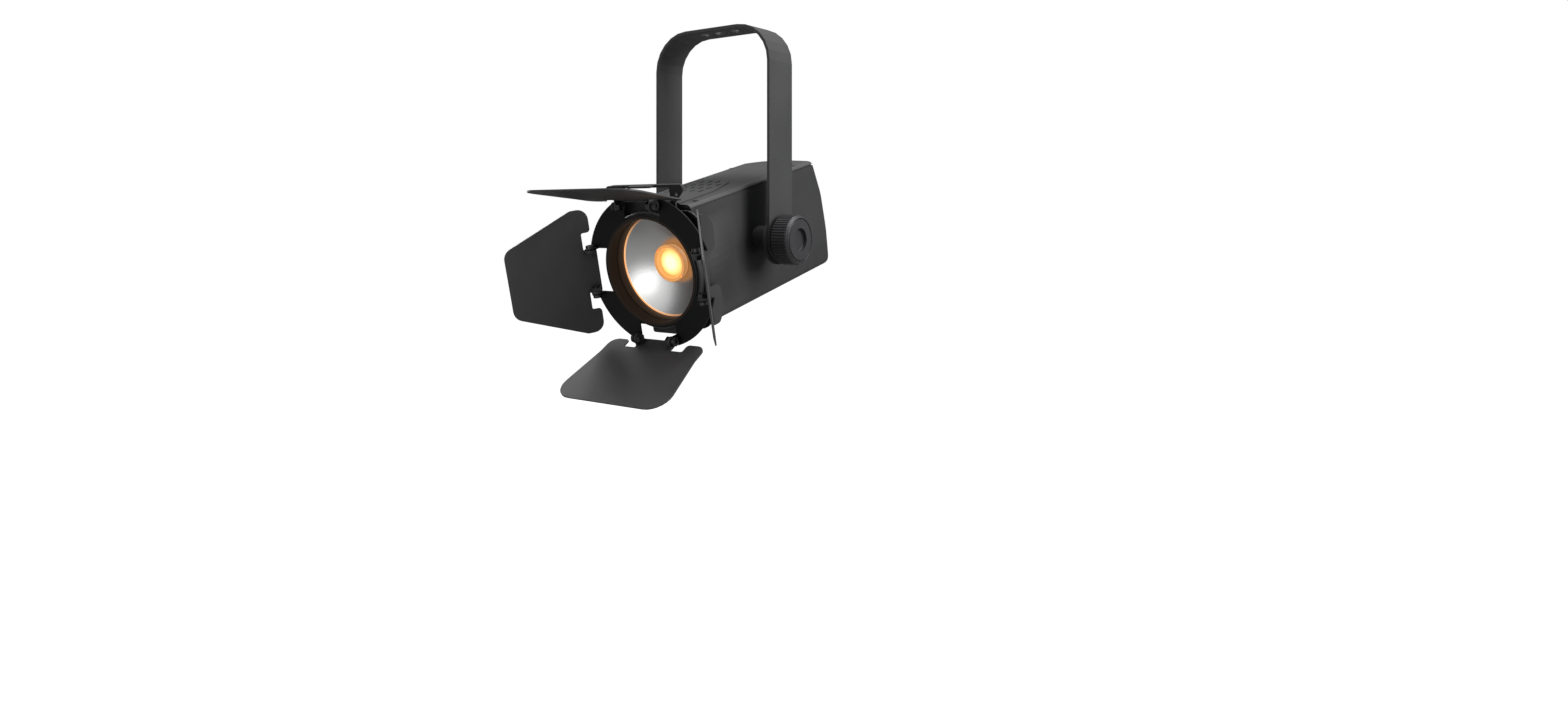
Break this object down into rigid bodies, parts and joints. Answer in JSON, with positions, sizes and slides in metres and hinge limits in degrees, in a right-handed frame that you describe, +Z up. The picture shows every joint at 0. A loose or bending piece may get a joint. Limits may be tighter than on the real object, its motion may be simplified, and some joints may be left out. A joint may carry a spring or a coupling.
{
  "type": "theatre spotlight",
  "caption": "Compact black LED theatre spotlight with a round reflector, a turning ring of barn doors and a hanging yoke with side tilt knobs.",
  "frame": {"origin": "centre of the clamp hole on the top face of the yoke", "axes": "+Z up out of the yoke's top, -Y the way the light leaves, +X along the tilt axis"},
  "size_m": [0.2094, 0.3177, 0.3132],
  "materials": {
    "black_powder_coat": "satin, fine texture",
    "black_housing": "satin",
    "black_plastic": "matt",
    "gloss_black_plastic": "glossy",
    "friction_pad": "matt",
    "bright_steel": "bright",
    "black_screw": "black oxide",
    "satin_reflector": "satin",
    "plain_aluminium": "mill",
    "brass_contact": "bright",
    "led_yellow": "soft",
    "white_board": "matt",
    "green_board": "satin",
    "nylon_washer": "matt"
  },
  "bodies": {
    "yoke": {"yoke": "black_powder_coat", "friction_washers": "friction_pad", "knob_washers": "bright_steel"},
    "head": {"lower_housing": "black_housing", "top_cover": "black_housing", "front_collar": "black_housing", "accessory_holder": "black_powder_coat", "rear_panel": "black_housing", "reflector": "satin_reflector", "led_board": "white_board", "led_retainer": "plain_aluminium", "led_dome": "led_yellow", "heat_sink": "plain_aluminium", "heat_sink_screws": "bright_steel", "chassis_plate": "plain_aluminium", "power_supply": "green_board", "driver_board": "green_board", "control_board": "green_board", "display_window": "gloss_black_plastic", "pivot_inserts": "brass_contact", "cover_screws": "black_screw", "rear_screws": "black_screw", "collar_screws": "black_screw", "mains_inlet": "black_plastic", "inlet_contacts": "brass_contact", "data_in_socket": "black_plastic", "data_out_socket": "black_plastic", "socket_contacts": "brass_contact", "latch_pins": "bright_steel"},
    "knob_left": {"knob_left": "black_plastic", "knob_left_stud": "bright_steel"},
    "knob_right": {"knob_right": "black_plastic", "knob_right_stud": "bright_steel"},
    "barn_frame": {"barn_ring": "black_powder_coat", "snap_ring": "bright_steel", "hinge_screws": "black_screw", "hinge_nuts": "black_screw", "hinge_washers": "nylon_washer"},
    "door_top": {"door_top": "black_powder_coat"},
    "door_bottom": {"door_bottom": "black_powder_coat"},
    "door_left": {"door_left": "black_powder_coat"},
    "door_right": {"door_right": "black_powder_coat"},
    "frame_latch": {"frame_latch": "black_powder_coat"},
    "menu_button": {"menu_button": "black_plastic"},
    "down_button": {"down_button": "black_plastic"},
    "up_button": {"up_button": "black_plastic"},
    "enter_button": {"enter_button": "black_plastic"}
  },
  "joints": [
    {"name": "head_tilt", "type": "hinge", "parent": "yoke", "child": "head", "pos_m": [0, 0, -0.187], "axis": [1, 0, 0], "range_deg": [-43, 77]},
    {"name": "knob_left_turn", "type": "hinge", "parent": "head", "child": "knob_left", "pos_m": [-0.07, 0, -0.187], "axis": [-1, 0, 0], "continuous": true},
    {"name": "knob_right_turn", "type": "hinge", "parent": "head", "child": "knob_right", "pos_m": [0.07, 0, -0.187], "axis": [1, 0, 0], "continuous": true},
    {"name": "barn_door_turn", "type": "hinge", "parent": "head", "child": "barn_frame", "pos_m": [0, -0.10157, -0.2125], "axis": [0, -0.9744, -0.225], "continuous": true},
    {"name": "door_top_swing", "type": "hinge", "parent": "barn_frame", "child": "door_top", "pos_m": [0, -0.12139, -0.15909], "axis": [-1, 0, 0], "range_deg": [-18, 72]},
    {"name": "door_right_swing", "type": "hinge", "parent": "barn_frame", "child": "door_right", "pos_m": [0.0565, -0.10868, -0.21414], "axis": [0, -0.225, 0.9744], "range_deg": [-77, 53]},
    {"name": "door_bottom_swing", "type": "hinge", "parent": "barn_frame", "child": "door_bottom", "pos_m": [0, -0.09597, -0.2692], "axis": [1, 0, 0], "range_deg": [-18, 72]},
    {"name": "door_left_swing", "type": "hinge", "parent": "barn_frame", "child": "door_left", "pos_m": [-0.0565, -0.10868, -0.21414], "axis": [0, 0.225, -0.9744], "range_deg": [-77, 53]},
    {"name": "latch_fold", "type": "hinge", "parent": "head", "child": "frame_latch", "pos_m": [0, -0.1022, -0.15107], "axis": [-1, 0, 0], "range_deg": [0, 35]},
    {"name": "menu_press", "type": "slide", "parent": "head", "child": "menu_button", "axis": [0, -0.8706, -0.4919], "range_m": [0, 0.0008], "stiffness_N_per_m": 600},
    {"name": "down_press", "type": "slide", "parent": "head", "child": "down_button", "axis": [0, -0.8706, -0.4919], "range_m": [0, 0.0008], "stiffness_N_per_m": 600},
    {"name": "up_press", "type": "slide", "parent": "head", "child": "up_button", "axis": [0, -0.8706, -0.4919], "range_m": [0, 0.0008], "stiffness_N_per_m": 600},
    {"name": "enter_press", "type": "slide", "parent": "head", "child": "enter_button", "axis": [0, -0.8706, -0.4919], "range_m": [0, 0.0008], "stiffness_N_per_m": 600}
  ]
}
